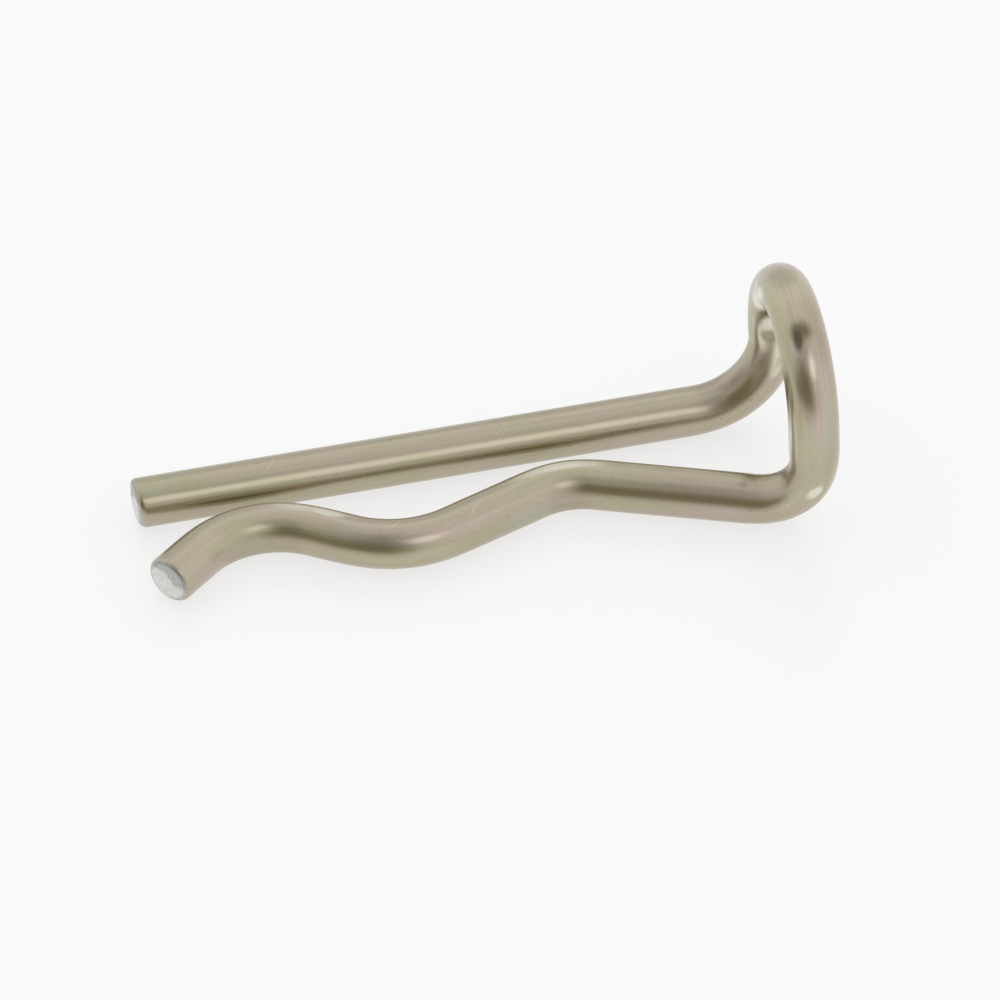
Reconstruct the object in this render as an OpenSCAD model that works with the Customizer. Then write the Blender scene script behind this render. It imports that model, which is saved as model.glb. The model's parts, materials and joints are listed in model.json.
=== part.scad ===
// Spring cotter pin, bent from one length of round spring wire.
//
// The straight leg goes through the cross-hole of a round pin, the wavy leg
// springs round the outside of that pin and seats in its trough, and the head
// loop is the finger grip, bent at a right angle to the plane of the legs.
// The clip lies on its two legs with the loop standing up. The straight leg
// runs along X with its cut end at -X, and the wavy leg lies on the -Y side.

/* [Wire] */
// Diameter of the spring wire
wire_d = 1.5; // [1.2:0.05:1.8]
// Width of the chamfer round each cut end
end_chamfer = 0.18; // [0.04:0.02:0.3]

/* [Straight leg] */
// Length of the straight leg, from its cut end to the start of the heel bend
leg_len = 17.05; // [12:0.05:30]

/* [Head loop] */
// Distance between the centrelines of the loop's two arms
loop_w = 5.1; // [4.2:0.1:8]
// Straight stretch of the loop's far arm, between the heel and the rounded top
arm_len = 0.55; // [0.1:0.05:6]
// Centreline radius of the heel, where the straight leg turns up into the loop
heel_r = 2.45; // [1.8:0.05:4]
// Centreline radius of the corner, where the loop turns down into the wavy leg
corner_r = 1.8; // [1.4:0.05:2.2]

/* [Wavy leg] */
// Clear gap between the legs at the inner crest, next to the head
inner_gap = 0.9; // [0.6:0.05:1.5]
// Clear gap between the legs at the trough, where the held pin seats
seat_gap = 2.3; // [1.8:0.05:3.5]
// Clear gap between the legs at the outer crest, which snaps over the held pin
nose_gap = 0.55; // [0.3:0.05:1]
// Angle at which the leg runs in from the corner to the inner crest
lead_angle = 22.5; // [15:0.5:30]
// Angle of the ramp from the inner crest out to the trough
inner_ramp = 20.5; // [12:0.5:30]
// Angle of the ramp from the trough in to the outer crest
nose_ramp = 34; // [20:0.5:45]
// Angle at which the tip flares away from the straight leg
flare_angle = 40; // [25:1:55]
// Centreline radius of the inner crest
crest_r = 2.4; // [1.5:0.1:3]
// Centreline radius of the trough
seat_r = 3.2; // [2:0.1:3.6]
// Centreline radius of the outer crest
nose_r = 2.8; // [1.5:0.1:3.2]
// Straight length of the flared tip, with its cut end
flare_len = 1.65; // [0.5:0.05:4]

/* [Hidden] */
$fn = 64;

// Warm grey of the drawn and plated wire
wire_colour = [0.70, 0.65, 0.55];

// The head is a quarter turn, a half turn over the top, and a quarter turn
quarter_turn = 90;
half_turn = 180;
loop_r = loop_w / 2;

// The near arm comes down as far as the far arm goes up, so that the clip lies
// on both legs
near_arm_len = heel_r + arm_len - corner_r;

// Distance of the wavy leg's centreline from the straight leg's, at the end of
// the corner, at each crest and at the trough
corner_off = loop_w - corner_r * sin(lead_angle);
inner_off = wire_d + inner_gap;
seat_off = wire_d + seat_gap;
nose_off = wire_d + nose_gap;

// How far a bend of radius r carries the wire sideways in its first a degrees
function sag(r, a) = r * (1 - cos(a));

// Straight stretches of the wavy leg: what is left of each change of distance
// once the bends at its two ends have taken their share
lead_len = (corner_off - inner_off - sag(crest_r, lead_angle)) / sin(lead_angle);
inner_len = (seat_off - inner_off - sag(crest_r + seat_r, inner_ramp)) / sin(inner_ramp);
nose_len = (seat_off - nose_off - sag(seat_r + nose_r, nose_ramp)) / sin(nose_ramp);

// How far each leg reaches back from the loop's plane, the wavy one to the edge
// of its cut face; the longer one and the outside of the loop set the length
leg_reach = leg_len + heel_r;
wavy_reach = (corner_r + lead_len) * cos(lead_angle) + crest_r * sin(lead_angle)
    + (crest_r + seat_r) * sin(inner_ramp) + inner_len * cos(inner_ramp)
    + (seat_r + nose_r) * sin(nose_ramp) + nose_len * cos(nose_ramp)
    + nose_r * sin(flare_angle) + flare_len * cos(flare_angle)
    + (wire_d / 2 - end_chamfer) * sin(flare_angle);
overall_len = max(leg_reach, wavy_reach) + wire_d / 2;

// The end of one stretch and the start of the next share one round face, so
// both have to agree to the last digit, though a length or a matrix keeps only
// six digits. Straight lengths are rounded to what is kept, and the move and
// turn at the end of a bend are made in two steps, the second for what is left
function kept(x) = round(x * 1e4) / 1e4;
function kept_angle(a) = atan2(round(sin(a) * 1e6) / 1e6, round(cos(a) * 1e6) / 1e6);

// One straight stretch of wire along +Z, and whatever follows from its far end
module feed(length) {
    cylinder(h = kept(length), d = wire_d);
    translate([0, 0, kept(length)]) children();
}

// The wire is turned about its own axis, then bent towards +X; what follows
// carries on from the end of the bend
module bend(radius, angle, turn = 0) {
    rotate([0, 0, turn]) {
        translate([radius, 0, 0])
            rotate([90, 0, half_turn])
                rotate_extrude(angle = angle)
                    translate([radius, 0])
                        circle(d = wire_d);
        bend_end(sag(radius, angle), radius * sin(angle), angle) children();
    }
}

module bend_end(x, z, angle) {
    translate([kept(x), 0, kept(z)])
        translate([x - kept(x), 0, z - kept(z)])
            rotate([0, angle, 0])
                rotate([0, angle - kept_angle(angle), 0])
                    children();
}

// First cut end: a chamfer that opens out to the full wire
module first_end() {
    cylinder(h = end_chamfer, d1 = wire_d - 2 * end_chamfer, d2 = wire_d);
    translate([0, 0, end_chamfer]) children();
}

// Last cut end: a chamfer that closes down to the cut face
module last_end() {
    cylinder(h = end_chamfer, d1 = wire_d, d2 = wire_d - 2 * end_chamfer);
}

// The whole clip, in the order in which the wire is fed, turned and bent
module clip() {
    color(wire_colour)
        translate([overall_len / 2 - wire_d / 2 - leg_reach, loop_w / 2, wire_d / 2])
            rotate([0, quarter_turn, 0])
                // straight leg
                first_end()
                feed(leg_len - end_chamfer)
                // head loop: heel, far arm, top, near arm, corner
                bend(heel_r, quarter_turn, turn = half_turn)
                feed(arm_len)
                bend(loop_r, half_turn, turn = quarter_turn)
                feed(near_arm_len)
                bend(corner_r, quarter_turn, turn = lead_angle - quarter_turn)
                // wavy leg: inner crest, trough, outer crest, flared tip
                feed(lead_len)
                bend(crest_r, lead_angle + inner_ramp, turn = -quarter_turn)
                feed(inner_len)
                bend(seat_r, inner_ramp + nose_ramp, turn = half_turn)
                feed(nose_len)
                bend(nose_r, nose_ramp + flare_angle, turn = half_turn)
                feed(flare_len - end_chamfer)
                last_end();
}

clip();
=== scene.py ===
"""Looks of a spring cotter pin, a clip bent from one length of drawn and plated spring wire.

The clip lies on its two legs on a pale floor, with its head loop standing up. The wire is one surface: a
round profile carried along the route that the wire takes through its bends. Its finish is worked out in the
straightened wire's own coordinates, so that the drawing lines follow every bend.
"""
import json
import math

import bpy
import numpy as np
from mathutils import Matrix, Vector


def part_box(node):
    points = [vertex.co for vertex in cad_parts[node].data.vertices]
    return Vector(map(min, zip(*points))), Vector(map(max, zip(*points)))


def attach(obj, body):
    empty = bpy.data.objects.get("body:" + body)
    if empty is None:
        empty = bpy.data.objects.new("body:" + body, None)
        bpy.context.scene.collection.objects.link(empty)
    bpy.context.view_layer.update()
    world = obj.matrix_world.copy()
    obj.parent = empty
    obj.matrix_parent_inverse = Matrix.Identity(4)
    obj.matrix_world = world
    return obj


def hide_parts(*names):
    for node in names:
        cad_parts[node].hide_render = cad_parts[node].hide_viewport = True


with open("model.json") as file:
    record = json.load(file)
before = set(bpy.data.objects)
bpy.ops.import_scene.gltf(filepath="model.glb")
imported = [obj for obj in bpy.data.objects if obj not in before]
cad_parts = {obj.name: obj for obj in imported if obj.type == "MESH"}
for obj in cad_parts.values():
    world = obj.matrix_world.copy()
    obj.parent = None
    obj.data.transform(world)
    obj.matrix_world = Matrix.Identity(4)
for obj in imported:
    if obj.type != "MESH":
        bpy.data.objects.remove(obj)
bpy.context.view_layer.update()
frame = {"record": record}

MM = 0.001

# ---------------------------------------------------------------------------------------------------------
# Sizes, in metres and degrees
# ---------------------------------------------------------------------------------------------------------

straight_leg = next(mount for mount in frame["record"]["mounts"] if mount["name"] == "straight_leg")
low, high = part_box("clip")
leg_axis_y, leg_axis_z = straight_leg["pos_m"][1:]

# Wire
wire_r = straight_leg["dims"]["r_mm"] * MM
wire_d = 2 * wire_r

# Straight leg and head loop
leg_len = 17.05 * MM
loop_r = leg_axis_y
heel_r = 2.45 * MM
corner_r = 1.8 * MM
arm_len = (high.z - low.z) - wire_d - heel_r - loop_r
near_arm_len = heel_r + arm_len - corner_r

# Wavy leg
inner_gap = 0.9 * MM
seat_gap = 2.3 * MM
nose_gap = 0.55 * MM
lead_angle = 22.5
inner_ramp = 20.5
nose_ramp = 34
flare_angle = 40
crest_r = 2.4 * MM
seat_r = 3.2 * MM
nose_r = 2.8 * MM
flare_len = 1.65 * MM


def sag(radius, angle):
    """How far a bend carries the wire sideways in its first angle degrees."""
    return radius * (1 - math.cos(math.radians(angle)))


def ramp_len(rise, bend_radii, angle):
    """Straight length of a ramp that rises by rise, less what the bends at its two ends take."""
    return (rise - sag(bend_radii, angle)) / math.sin(math.radians(angle))


corner_off = 2 * loop_r - corner_r * math.sin(math.radians(lead_angle))
lead_len = ramp_len(corner_off - wire_d - inner_gap, crest_r, lead_angle)
inner_len = ramp_len(seat_gap - inner_gap, crest_r + seat_r, inner_ramp)
nose_len = ramp_len(seat_gap - nose_gap, seat_r + nose_r, nose_ramp)

# The route of the wire: straight stretches by length, and bends by radius, angle, and the turn about the
# wire's own axis that is made before the bend. A bend lies between two straight stretches
ROUTE = [
    ("straight", leg_len),
    ("bend", heel_r, 90, 180),
    ("straight", arm_len),
    ("bend", loop_r, 180, 90),
    ("straight", near_arm_len),
    ("bend", corner_r, 90, lead_angle - 90),
    ("straight", lead_len),
    ("bend", crest_r, lead_angle + inner_ramp, -90),
    ("straight", inner_len),
    ("bend", seat_r, inner_ramp + nose_ramp, 180),
    ("straight", nose_len),
    ("bend", nose_r, nose_ramp + flare_angle, 180),
    ("straight", flare_len),
]
ROUTE_START = (high.x - wire_r - heel_r - leg_len, leg_axis_y, leg_axis_z)

# Length in which a bend begins or ends, half of it in the straight beside it, but never longer than that
# straight
BEND_FADE = 0.9 * MM

# Distance between the places at which the centreline is worked out
GRID_GAP = 0.01 * MM


# ---------------------------------------------------------------------------------------------------------
# The wire's centreline
# ---------------------------------------------------------------------------------------------------------

def smooth_step(x):
    """0 below 0, 1 above 1, and the cubic 3x^2 - 2x^3 between."""
    x = np.clip(x, 0, 1)
    return x * x * (3 - 2 * x)


def running_integral(values, along):
    """The integral of each column of values from the start up to each place along, by the trapezoid rule."""
    steps = np.diff(along)[:, None] * (values[1:] + values[:-1]) / 2
    return np.concatenate([0 * values[:1], np.cumsum(steps, axis=0)])


def bend_share(bend, along):
    """1 within a bend and 0 away from it, with a smooth fade centred on each of its ends."""
    since = along - bend["begun"]
    fade_in, fade_out = bend["fades"]
    return smooth_step(since / fade_in + 0.5) * smooth_step((bend["length"] - since) / fade_out + 0.5)


class Route:
    """The wire's centreline, worked out on a fine grid along the wire.

    The curvature in a bend of radius R is its share divided by R, so the angle a turned by then is the
    running integral of that. The heading is cos(a) heading + sin(a) side, from the heading and the side that
    the bend starts with, and the place is the running integral of the heading. The section's own axis keeps
    its angle to the bend's side, so that the wire is never twisted.
    """

    def __init__(self, steps, start, heading, axis):
        heading, axis = np.array(heading, float), np.array(axis, float)
        self.bends = []
        begun = turned = 0.0
        for index, (kind, size, *turns) in enumerate(steps):
            if kind == "straight":
                begun += size
                continue
            angle, turn = (math.radians(v) for v in turns)
            turned += turn
            side = math.cos(turned) * axis + math.sin(turned) * np.cross(heading, axis)
            fades = [min(BEND_FADE, steps[beside][1]) for beside in (index - 1, index + 1)]
            made = {"begun": begun, "length": size * angle, "radius": size, "turned": turned, "fades": fades,
                    "heading": heading, "axis": axis, "side": side}
            self.bends.append(made)
            heading, axis = self.through(made, np.float64(angle))
            begun += size * angle
        self.length = begun

        self.grid = np.linspace(0, self.length, math.ceil(self.length / GRID_GAP) + 1)
        headings = np.tile(self.bends[0]["heading"], (len(self.grid), 1))
        axes = np.tile(self.bends[0]["axis"], (len(self.grid), 1))
        for bend in self.bends:
            here = self.grid > bend["begun"] - bend["fades"][0] / 2
            curvature = bend_share(bend, self.grid) / bend["radius"]
            angles = running_integral(curvature[:, None], self.grid)[here, 0]
            headings[here], axes[here] = self.through(bend, angles)
        places = np.array(start) + running_integral(headings, self.grid)
        self.columns = np.hstack([places, headings, axes]).T

    @staticmethod
    def through(bend, angle):
        """Headings and section axes at angles through a bend."""
        heading, axis, side = (bend[k] for k in ("heading", "axis", "side"))
        cos, sin = np.cos(angle)[..., None], np.sin(angle)[..., None]
        across = np.cross(heading, side)
        sides = cos * side - sin * heading
        return cos * heading + sin * side, (axis @ side) * sides + (axis @ across) * across

    def at(self, along):
        """Places, headings and section axes at distances along the whole wire."""
        values = [np.interp(along, self.grid, column) for column in self.columns]
        return np.split(np.stack(values, axis=-1), 3, axis=-1)


# ---------------------------------------------------------------------------------------------------------
# The wire's surface
# ---------------------------------------------------------------------------------------------------------

# Mesh: points round the wire, distance between its rings, and rings on a cut end's edge and face
SIDES = 96
RING_GAP = 0.06 * MM
EDGE_RINGS = 10
FACE_RINGS = 14

# Flattening of the wire in a bend's plane, as a share of its radius, in a bend of radius OVAL_R
OVAL = 0.03
OVAL_R = 2 * wire_d

# Cut ends
FIRST_CROP = (0.0, -0.5, -0.9)  # the side that each end was cropped from
LAST_CROP = (-0.2, 0.4, -0.9)
EDGE_R = 0.26 * MM              # rounding of a cut end's edge
EDGE_VARIES = 0.07 * MM         # how much more it is on the side that the crop came from, and less opposite
CROP_TILT = 0.035               # slope of a cut face, away from square
CROP_STEP = 0.022 * MM          # drop from the sheared part of a cut face to the part that broke away
CROP_LINE = -0.2                # where that step crosses the face, in wire radii towards the crop's side
CROP_BLUR = 0.16                # how wide the step is, in wire radii
CROP_WANDER = 0.10              # how far the step wanders to each side, in wire radii
CROP_WAVES = 5.3                # how fast it wanders, in radians for each wire radius along it
BARE_END = 0.5 * MM             # how far back from a cut end the plating is worn

# Marks: distance along the wire and half length in mm, angle round the wire and half width in degrees, depth
# in mm, and tone, from -1 for darkest to 1 for brightest. The depths are dents left by tools and handling; a
# bright tone is a painted highlight, and a dark one painted shade, but for the nick's own dark colour. The
# angle is counted from the side that faces FRONT, clockwise as seen looking along the wire
FRONT = (-0.149, -0.750, 0.645)
MARK_REACH = 1.5  # where a mark ends, in its half lengths and half widths
MARK_FADE = 1.3   # how much of that its fade takes
MARKS = [
    # nick on the loop, dark in colour, and beside it a wide darker patch of painted shade
    (26.75, 4, 0.30, 27, 0.018, -0.58),
    (27.03, 12, 0.24, 11, 0.022, -0.58),
    (26.75, -42, 1.60, 34, 0.000, -0.24),
    # painted highlights on the outside of the corner and of the loop's far shoulder and arms, some over
    # shallow dents of the bending tool
    (31.35, -31, 0.24, 15, 0.012, 0.90),
    (23.30, -8, 0.34, 30, 0.006, 0.85),
    (23.75, 28, 0.36, 26, 0.004, 0.75),
    (24.35, 64, 0.60, 20, 0.004, 0.85),
    (21.95, -8, 0.70, 14, 0.000, 0.80),
    (20.75, 8, 0.80, 13, 0.000, 0.85),
    (20.05, 28, 0.40, 14, 0.000, 0.60),
    (21.55, -30, 0.90, 32, 0.000, 0.74),
    (23.00, -35, 0.34, 22, 0.000, 0.66),
    (29.95, 66, 1.50, 20, 0.000, 0.65),
    (29.75, 10, 1.30, 60, 0.000, 0.28),
    (32.05, -5, 1.20, 50, 0.000, 0.28),
    # painted highlights on the crests, over shallow dents
    (39.35, 58, 1.60, 19, 0.006, 0.85),
    (47.55, 64, 1.50, 21, 0.006, 0.78),
    (46.85, 58, 0.40, 13, 0.004, 0.60),
    # painted shade: darker, rougher patches
    (18.05, -20, 1.10, 30, 0.000, -0.16),
    (47.55, -14, 0.55, 16, 0.000, -0.18),
    (44.85, -4, 0.90, 34, 0.000, -0.21),
    (46.15, 10, 1.60, 44, 0.000, -0.19),
    (35.35, 20, 2.40, 40, 0.000, -0.18),
    (19.10, -32, 1.00, 20, 0.000, -0.28),
    (33.75, 33, 0.20, 12, 0.000, -0.20),
]


def cut_end(face, edge, angle, crop):
    """The depth, radius and share of broken metal of a cut end's points.

    A ring of them has one share of the face and one angle of the edge. The edge is a quarter circle of radius
    e = EDGE_R + EDGE_VARIES cos(angle - crop): the radius is less by e (1 - sin(edge)), and the depth is
    e (1 - cos(edge)). The face slopes by CROP_TILT towards the side that the crop came from, and beyond
    CROP_LINE, on the side away from it, the metal broke away and lies CROP_STEP deeper.
    """
    toward = np.cos(angle - crop)
    rounding = EDGE_R + EDGE_VARIES * toward
    radius = face * (wire_r - rounding * (1 - np.sin(edge)))
    across = radius / wire_r * toward
    beside = radius / wire_r * np.sin(angle - crop)
    flat = np.cos(edge) ** 2
    line = CROP_LINE + CROP_WANDER * np.sin(CROP_WAVES * beside + crop)
    broken = smooth_step((line - across) / CROP_BLUR) * flat
    slope = CROP_TILT * wire_r * (1 + across) * flat
    return rounding * (1 - np.cos(edge)) + slope + CROP_STEP * broken, radius, broken


def wire_profile(route, angle):
    """Each point's distance along the wire, its radius, and its shares of bare and of broken metal.

    A cut face is rings of growing radius, its edge is a quarter circle whose angle runs from 0 to 90 degrees,
    and the body is rings at the full radius. The share of bare metal is 1 on a cut face and a half where its
    edge runs out into the body, and from there it falls to 0 at BARE_END.
    """
    face = np.concatenate([np.linspace(0, 1, FACE_RINGS, endpoint=False), np.ones(EDGE_RINGS)])[:, None]
    edge = np.concatenate([np.zeros(FACE_RINGS), np.linspace(0, math.pi / 2, EDGE_RINGS)])[:, None]
    ends = []
    for place, side in ((0, FIRST_CROP), (route.length, LAST_CROP)):
        _, heading, axis = (v[0] for v in route.at(np.array([place])))
        crop = math.atan2(np.cross(heading, axis) @ side, axis @ side)
        ends.append(cut_end(face, edge, angle, crop))
    first, last = ends

    reach = EDGE_R + EDGE_VARIES
    body = np.linspace(reach, route.length - reach, math.ceil((route.length - 2 * reach) / RING_GAP))[1:-1]
    body = np.tile(body[:, None], SIDES)
    along = np.concatenate([first[0], body, route.length - last[0][::-1]])
    radius = np.concatenate([first[1], np.full_like(body, wire_r), last[1][::-1]])
    broken = np.concatenate([first[2], 0 * body, last[2][::-1]])

    edge = np.concatenate([edge, np.full((len(body), 1), math.pi / 2), edge[::-1]])
    from_end = np.minimum(along, route.length - along)
    bare = np.where(edge < math.pi / 2, 1 - edge / math.pi, 0.5 * (1 - from_end / BARE_END))
    return along, radius, np.maximum(bare, 0), broken


def marks(along, headings, out):
    """Depth and tone of the marks at each point.

    A mark's share is 1 in its middle and fades on a smooth step to 0 at MARK_REACH times its half length and
    half width, by q = sqrt((distance / half length)^2 + (angle / half width)^2).
    """
    toward = FRONT - (headings @ FRONT)[..., None] * headings
    toward = toward / np.linalg.norm(toward, axis=-1, keepdims=True)
    beside = np.cross(headings, toward)
    turned = np.degrees(np.arctan2((out * beside).sum(-1), (out * toward).sum(-1)))
    depth, tone = 0 * along, 0 * along
    for place, angle, half_len, half_wide, deep, tint in MARKS:
        aside = (turned - angle + 180) % 360 - 180
        q = np.hypot((along / MM - place) / half_len, aside / half_wide)
        share = smooth_step((MARK_REACH - q) / MARK_FADE)
        depth = depth + share * deep * MM
        tone = tone + share * tint
    return depth, tone


def wire_piece(name):
    """The wire as one closed surface in two parameters, the ring along the wire and the angle round it.

    A point is centre + r (cos(angle) axis + sin(angle) across), with r the profile's radius less a share
    OVAL cos(psi)^2 at each bend, where psi is the angle from the bend's side, and less the depth of any mark.
    """
    route = Route(ROUTE, ROUTE_START, heading=(1, 0, 0), axis=(0, 0, -1))
    angle = np.linspace(0, 2 * math.pi, SIDES, endpoint=False)[None, :]
    along, radius, bare, broken = wire_profile(route, angle)

    round_share = radius / wire_r
    inside = 0 * radius
    for bend in route.bends:
        amount = bend_share(bend, along.mean(axis=1))[:, None] * OVAL_R / bend["radius"]
        psi = angle - bend["turned"]
        radius = radius * (1 - OVAL * amount * np.cos(psi) ** 2)
        inside = inside + amount * np.cos(psi)

    places, headings, axes = (v.reshape(*along.shape, 3) for v in route.at(along.ravel()))
    across = np.cross(headings, axes)
    out = np.cos(angle)[..., None] * axes + np.sin(angle)[..., None] * across
    depth, tone = marks(along, headings, out)
    radius = radius - depth * round_share
    unbent = np.stack([radius * np.cos(angle), radius * np.sin(angle), along], axis=-1)

    piece = closed_tube(name, places + radius[..., None] * out)
    add_attribute(piece, "unbent", unbent, "FLOAT_VECTOR", "vector")
    add_attribute(piece, "inside_of_bend", inside * round_share, "FLOAT", "value")
    add_attribute(piece, "bare_end", bare, "FLOAT", "value")
    add_attribute(piece, "broken_metal", broken, "FLOAT", "value")
    add_attribute(piece, "mark", tone, "FLOAT", "value")
    return piece


def tube_values(grid):
    """A grid's values in the order of closed_tube's points: first pole, the rings between, last pole."""
    return np.concatenate([grid[0, :1], grid[1:-1].reshape(-1, *grid.shape[2:]), grid[-1, :1]])


def closed_tube(name, points):
    """A mesh from a grid of points, rings by sides, whose first and last rings are each one pole."""
    rings, sides = points.shape[0] - 2, points.shape[1]
    ring, side = np.meshgrid(np.arange(rings - 1), np.arange(sides), indexing="ij")
    here, beside = 1 + ring * sides + side, 1 + ring * sides + (side + 1) % sides
    quads = np.stack([here, beside, beside + sides, here + sides], axis=-1).reshape(-1, 4)
    side = np.arange(sides)
    last = 1 + rings * sides
    first_fan = np.stack([0 * side, 1 + (side + 1) % sides, 1 + side], axis=-1)
    last_fan = np.stack([0 * side + last, last - sides + side, last - sides + (side + 1) % sides], axis=-1)
    mesh = bpy.data.meshes.new(name)
    mesh.from_pydata(tube_values(points), [], [*first_fan.tolist(), *quads.tolist(), *last_fan.tolist()])
    mesh.shade_smooth()
    piece = bpy.data.objects.new(name, mesh)
    bpy.context.scene.collection.objects.link(piece)
    return piece


def add_attribute(piece, name, grid, kind, field):
    """Keeps a grid's value at each point of a closed tube, for its material to read."""
    attribute = piece.data.attributes.new(name, kind, "POINT")
    attribute.data.foreach_set(field, np.ascontiguousarray(tube_values(grid), np.float32).ravel())


# ---------------------------------------------------------------------------------------------------------
# Shader nodes
# ---------------------------------------------------------------------------------------------------------

class Graph:
    """The node tree of a material or of the world, emptied and built up again."""

    def __init__(self, tree):
        self.tree = tree
        tree.nodes.clear()

    def node(self, kind, settings=(), sockets=(), out=0):
        """Adds a node: its settings first, then the values or links of its sockets. Gives one output."""
        made = self.tree.nodes.new("ShaderNode" + kind)
        for key, value in dict(settings).items():
            setattr(made, key, value)
        for key, value in dict(sockets).items():
            if isinstance(value, Value):
                self.tree.links.new(value.socket, made.inputs[key])
            else:
                made.inputs[key].default_value = value
        return Value(self, made.outputs[out]) if made.outputs else None

    def attribute(self, name, out="Fac"):
        """What the mesh keeps for each point under a name."""
        return self.node("Attribute", {"attribute_name": name}, out=out)

    def mix(self, factor, first, second):
        """A colour between two colours."""
        return self.node("Mix", {"data_type": "RGBA"}, {0: factor, 6: rgba(first), 7: rgba(second)}, out=2)

    def tinted(self, colour, tone):
        """A colour made lighter or darker by a number."""
        grey = self.node("CombineXYZ", {}, {0: tone, 1: tone, 2: tone})
        return self.node("VectorMath", {"operation": "MULTIPLY"}, {0: colour, 1: grey})

    def noise(self, place, across, along, detail):
        """Soft noise from 0 to 1, scaled apart across the wire and along it."""
        scaled = self.node("VectorMath", {"operation": "MULTIPLY"}, {0: place, 1: (across, across, along)})
        return self.node("TexNoise", {}, {"Vector": scaled, "Scale": 1, "Detail": detail})


def rgba(colour):
    """A colour with its alpha, or a colour that a socket gives, as it is."""
    return colour if isinstance(colour, Value) else (*colour, 1)


class Value:
    """What a socket gives. An expression on a number adds its Math nodes."""

    def __init__(self, graph, socket):
        self.graph = graph
        self.socket = socket

    def math(self, operation, *operands):
        """The result of a Math node."""
        return self.graph.node("Math", {"operation": operation}, dict(enumerate(operands)))

    def __add__(self, other):
        return self.math("ADD", self, other)

    def __radd__(self, other):
        return self.math("ADD", other, self)

    def __sub__(self, other):
        return self.math("SUBTRACT", self, other)

    def __rsub__(self, other):
        return self.math("SUBTRACT", other, self)

    def __mul__(self, other):
        return self.math("MULTIPLY", self, other)

    def __rmul__(self, other):
        return self.math("MULTIPLY", other, self)

    def __abs__(self):
        return self.math("ABSOLUTE", self)

    def __or__(self, other):
        """The greater of the two."""
        return self.math("MAXIMUM", self, other)

    def ramp(self, start, end):
        """0 up to start, 1 from end on, and smooth between. end may lie below start."""
        sockets = {"Value": self, "From Min": start, "From Max": end}
        return self.graph.node("MapRange", {"interpolation_type": "SMOOTHSTEP"}, sockets)


# ---------------------------------------------------------------------------------------------------------
# Finishes
# ---------------------------------------------------------------------------------------------------------

# Colours of the plating, of scratches and painted highlights, of the nick and painted shade, and of bare
# steel
TAN = (0.480, 0.429, 0.322)
OLIVE = (0.450, 0.427, 0.281)
ROSE = (0.512, 0.419, 0.348)
GREY_GREEN = (0.458, 0.469, 0.401)
SCRATCH_AND_HIGHLIGHT = (0.800, 0.770, 0.640)
NICK_AND_SHADE = (0.125, 0.095, 0.055)
STEEL = (0.715, 0.718, 0.696)

# Patterns: features in a metre across the wire and along it, and how many finer layers are added to them
CLOUDS = (1100, 330, 3)
VEILS = (1190, 357, 3)
WIDE_LINES = (7000, 160, 3)
FINE_LINES = (17000, 260, 2)
GRAIN = (13000, 13000, 2)
PITS = (7000, 7000, 1)
SCRATCHES = (2600, 110, 0)
SCRATCHED_PLACES = (520, 520, 1)
RAGGED_EDGES = (4200, 1900, 2)
SHEAR_LINES = (7000, 1, 2)

SCRATCH_AXIS = (1, 0.4, 0)  # what the scratches are turned about, away from the wire's own direction
SCRATCH_SLANT = 38          # how far they are turned, in degrees
BUMP_HEIGHT = 0.0016 * MM   # height of the drawing lines, grain and scratches


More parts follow.
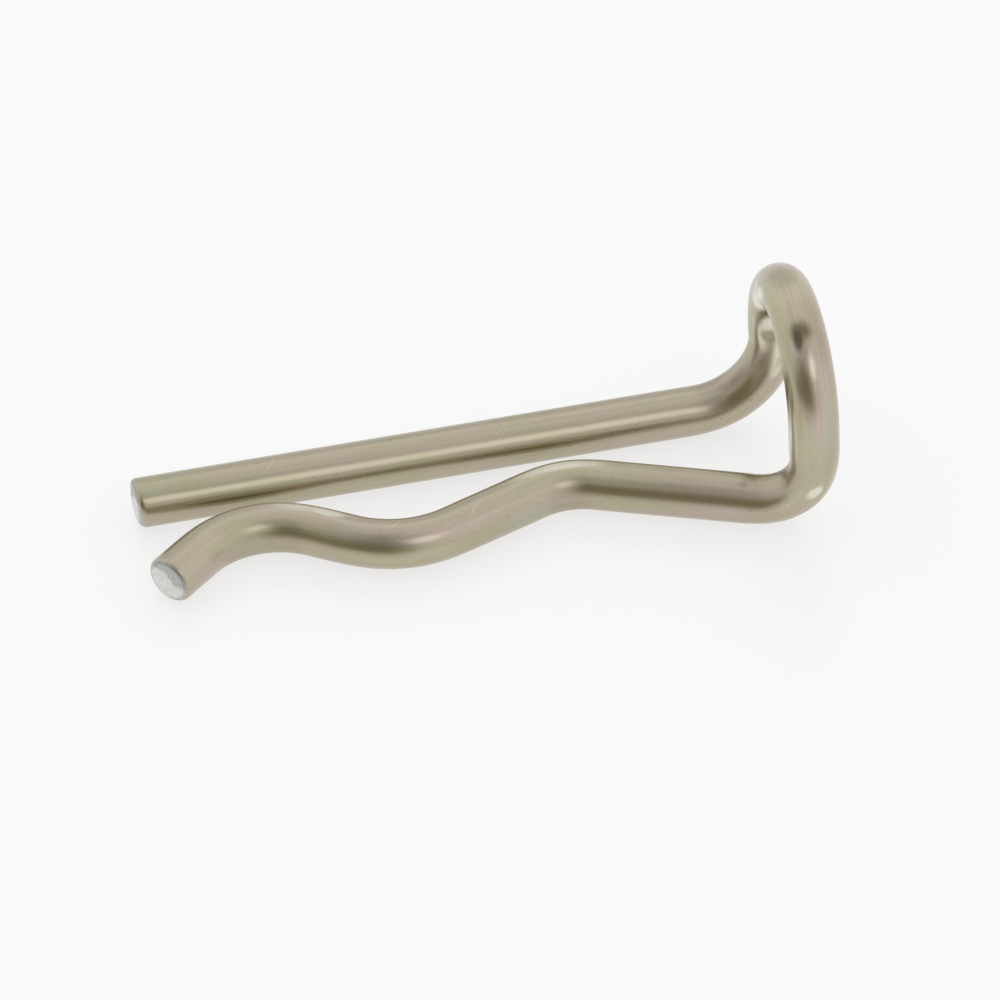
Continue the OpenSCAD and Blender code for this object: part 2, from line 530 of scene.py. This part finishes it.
def spring_wire_finish():
    """Drawn spring wire with a thin warm-grey plating, bare steel where it was cut, scratches and rubbing,
    and painted highlights and shade.
    """
    material = bpy.data.materials.new("spring_wire")
    material.use_nodes = True
    g = Graph(material.node_tree)
    unbent = g.attribute("unbent", out="Vector")
    inside = g.attribute("inside_of_bend")
    bare_end = g.attribute("bare_end")
    broken_metal = g.attribute("broken_metal")
    mark = g.attribute("mark")

    # Plating: tan, with olive, rose and grey-green clouds that follow the wire
    clouds = g.noise(unbent, *CLOUDS)
    veils = g.noise(unbent, *VEILS)
    colour = g.mix(clouds.ramp(0.36, 0.62), OLIVE, ROSE)
    colour = g.mix(veils.ramp(0.38, 0.64), colour, TAN)
    colour = g.mix(0.5 * veils.ramp(0.46, 0.30), colour, GREY_GREEN)

    # Drawing lines, fine grain of the plating, and small dull pits
    lines = 0.55 * g.noise(unbent, *WIDE_LINES) + 0.45 * g.noise(unbent, *FINE_LINES)
    grain = g.noise(unbent, *GRAIN)
    pits = g.noise(unbent, *PITS).ramp(0.70, 0.80)

    # Handling scratches, fine and short, at a slant, here and there
    turn = {"Vector": unbent, "Axis": SCRATCH_AXIS, "Angle": math.radians(SCRATCH_SLANT)}
    slanted = g.node("VectorRotate", {"rotation_type": "AXIS_ANGLE"}, turn)
    where = g.noise(unbent, *SCRATCHED_PLACES).ramp(0.54, 0.62)
    scratches = abs(g.noise(slanted, *SCRATCHES) - 0.5).ramp(0.010, 0.002) * where

    # Rubbed bright on the outside of the bends, darker and rougher inside them, and the marks, with ragged
    # edges:
    # the bright marks painted highlights, the dark ones painted shade and the nick
    outer = (0 - inside).ramp(0.15, 1.3) * (lines + 0.3).ramp(0.55, 0.95)
    inner = inside.ramp(0.25, 1.3)
    ragged = g.noise(unbent, *RAGGED_EDGES)
    ragged_mark = mark * (0.62 + 0.76 * ragged)
    painted_highlight = ragged_mark.ramp(0.10, 0.95)
    nick_and_shade = (0 - ragged_mark).ramp(0.02, 0.75)

    tone = 1 + 0.30 * (lines - 0.5) + 0.08 * (grain - 0.5) + 0.08 * outer - 0.08 * inner - 0.20 * pits
    colour = g.tinted(colour, tone)
    # Lighter where scratched and where highlights are painted; dark at the nick and where shade is painted
    colour = g.mix(0.9 * painted_highlight, colour, SCRATCH_AND_HIGHLIGHT)
    colour = g.mix(0.22 * scratches, colour, SCRATCH_AND_HIGHLIGHT)
    colour = g.mix(0.9 * nick_and_shade, colour, NICK_AND_SHADE)

    # Cut faces: the sheared part smooth and bright, the broken part dull and grainy, and painted shade
    # darkening the rim
    bare = (bare_end + 0.22 * (ragged - 0.5)).ramp(0.62, 0.80)
    rim = bare_end.ramp(0.98, 0.76)
    shear_lines = g.noise(unbent, *SHEAR_LINES)
    steel_tone = 1 + 0.5 * (shear_lines - 0.5) - (0.16 + 0.25 * grain) * broken_metal - 0.30 * rim
    colour = g.mix(bare, colour, g.tinted(STEEL, steel_tone))

    rough = 0.25 + 0.14 * (lines - 0.5) + 0.05 * (grain - 0.5) + 0.10 * pits - 0.04 * outer + 0.05 * inner
    rough = rough - 0.03 * painted_highlight + 0.22 * nick_and_shade + 0.10 * bare + 0.15 * broken_metal
    height = 0.60 * lines + 0.04 * grain - 0.20 * pits - 0.08 * scratches + 0.30 * bare * shear_lines
    height = height + 0.5 * broken_metal * grain
    bump = g.node("Bump", {}, {"Strength": 1.0, "Distance": BUMP_HEIGHT, "Height": height})
    metal = {"Base Color": colour, "Metallic": 1.0, "Roughness": rough, "Normal": bump}
    g.node("OutputMaterial", {}, {"Surface": g.node("BsdfPrincipled", {}, metal)})
    return material


WHITE = (1, 1, 1)
MATT_WHITE = (0.95, 0.95, 0.95)
FLOOR_GLOW = 0.75  # share of plain white in what the eye sees of the floor
FLOOR_GLOSS = 0.3  # roughness of the floor's thin gloss
GLOSS_INDEX = 1.5  # refractive index of that gloss


def floor_finish():
    """Matt white, with light added for the eye alone, so that the floor is white and keeps its shadows."""
    material = bpy.data.materials.new("floor")
    material.use_nodes = True
    g = Graph(material.node_tree)
    matt = g.node("BsdfDiffuse", {}, {"Color": rgba(MATT_WHITE)})
    white = g.node("Emission", {}, {"Color": rgba(WHITE), "Strength": 1})
    pale = g.node("MixShader", {}, {0: FLOOR_GLOW * seen_directly(g), 1: matt, 2: white})
    gloss = g.node("BsdfAnisotropic", {}, {"Color": rgba(WHITE), "Roughness": FLOOR_GLOSS})
    slant = g.node("Fresnel", {}, {"IOR": GLOSS_INDEX})
    surface = g.node("MixShader", {}, {0: slant, 1: pale, 2: gloss})
    g.node("OutputMaterial", {}, {"Surface": surface})
    return material


def seen_directly(g):
    """1 for what the eye sees, straight or in metal or glass, and 0 for light that falls on something."""
    rays = ("Is Camera Ray", "Is Glossy Ray", "Is Transmission Ray")
    eye, metal, glass = (g.node("LightPath", out=ray) for ray in rays)
    return eye | metal | glass


# ---------------------------------------------------------------------------------------------------------
# Floor, light and camera
# ---------------------------------------------------------------------------------------------------------

FLOOR_SIZE = 4.0

# How bright the floor looks near the horizon. The studio has this brightness below the horizon, beyond the
# floor's edge: none of it where a direction's height is HORIZON[0], and all of it at HORIZON[1]
FAR_FLOOR = 0.814
HORIZON = (0, -0.003)

DARK_FRONT = (1.0, 0.90, 0.60)  # tint of the studio's open front

# Camera: the place it looks at, where it stands from there, its turn about its own axis, and the width seen
VIEW_AIM = (0.382 * MM, -0.469 * MM, 1.137 * MM)
VIEW_AZIMUTH = -11.23
VIEW_ELEVATION = 40.15
VIEW_ROLL = 2.2
VIEW_DISTANCE = 0.375
VIEW_WIDTH = 29.49 * MM


def direction(azimuth, elevation):
    """A unit vector. Azimuth 0 is -Y, before the clip, and 90 is +X, to its right."""
    azimuth, elevation = math.radians(azimuth), math.radians(elevation)
    level = math.cos(elevation)
    return Vector((math.sin(azimuth) * level, -math.cos(azimuth) * level, math.sin(elevation)))


def floor():
    """A wide level sheet at the height on which the clip lies."""
    mesh = bpy.data.meshes.new("floor")
    half = FLOOR_SIZE / 2
    corners = [(-half, -half, low.z), (half, -half, low.z), (half, half, low.z), (-half, half, low.z)]
    mesh.from_pydata(corners, [], [(0, 1, 2, 3)])
    mesh.materials.append(floor_finish())
    ground = bpy.data.objects.new("floor", mesh)
    bpy.context.scene.collection.objects.link(ground)


def studio():
    """A soft white studio, with its dark open front low down before the clip.

    Each part of it has a middle, given by azimuth and elevation, and fades between two cosines of the angle
    from there. Light is dimmed by some parts and added by others.
    """
    world = bpy.data.worlds.new("studio")
    bpy.context.scene.world = world
    world.use_nodes = True
    g = Graph(world.node_tree)
    toward = g.node("TexCoord", out="Generated")

    def facing(azimuth, elevation):
        """The cosine of the angle between a direction and a place in the studio."""
        middle = direction(azimuth, elevation)
        return g.node("VectorMath", {"operation": "DOT_PRODUCT"}, {0: toward, 1: middle}, out="Value")

    shade = 0.26 * facing(-38, 0).ramp(-0.3, 1.0)
    front = facing(-36, 3).ramp(0.66, 0.96)
    opening = 0.62 * front
    onlooker = 0.28 * facing(-20, 48).ramp(0.78, 0.99)
    overhead = 0.10 * facing(0, 90).ramp(0.6, 1.0)
    rear = 0.30 * facing(180, 14).ramp(0.80, 0.98)
    lamp = 0.78 * facing(14, 42).ramp(0.955, 0.995)
    backdrop = 0.07 * facing(165, 15).ramp(0.5, 1.0)
    light = (1 - shade) * (1 - opening) * (1 - onlooker) * (1 - overhead) * (1 - rear) + lamp + backdrop
    below = g.node("SeparateXYZ", {}, {0: toward}, out="Z").ramp(*HORIZON)
    strength = light * (1 - below) + FAR_FLOOR * below
    tint = g.mix(front * (1 - below), WHITE, DARK_FRONT)
    surface = g.node("Background", {}, {"Color": tint, "Strength": strength})
    g.node("OutputWorld", {}, {"Surface": surface})


def camera():
    """A long lens, turned a little about its own axis, that looks down on the clip from the front left."""
    back = direction(VIEW_AZIMUTH, VIEW_ELEVATION)
    level = direction(VIEW_AZIMUTH + 90, 0)
    right = Matrix.Rotation(math.radians(-VIEW_ROLL), 3, back) @ level
    up = back.cross(right)
    eye = bpy.data.objects.new("camera", bpy.data.cameras.new("camera"))
    bpy.context.scene.collection.objects.link(eye)
    turn = Matrix((right, up, back)).transposed().to_4x4()
    eye.matrix_world = Matrix.Translation(Vector(VIEW_AIM) + VIEW_DISTANCE * back) @ turn
    eye.data.lens = eye.data.sensor_width * VIEW_DISTANCE / VIEW_WIDTH
    eye.data.clip_start = 0.01
    eye.data.clip_end = 10
    bpy.context.scene.camera = eye


wire = wire_piece("spring_wire_clip")
wire.data.materials.append(spring_wire_finish())
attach(wire, "root")
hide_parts("clip")

floor()
studio()
camera()
bpy.context.scene.view_settings.view_transform = "Standard"
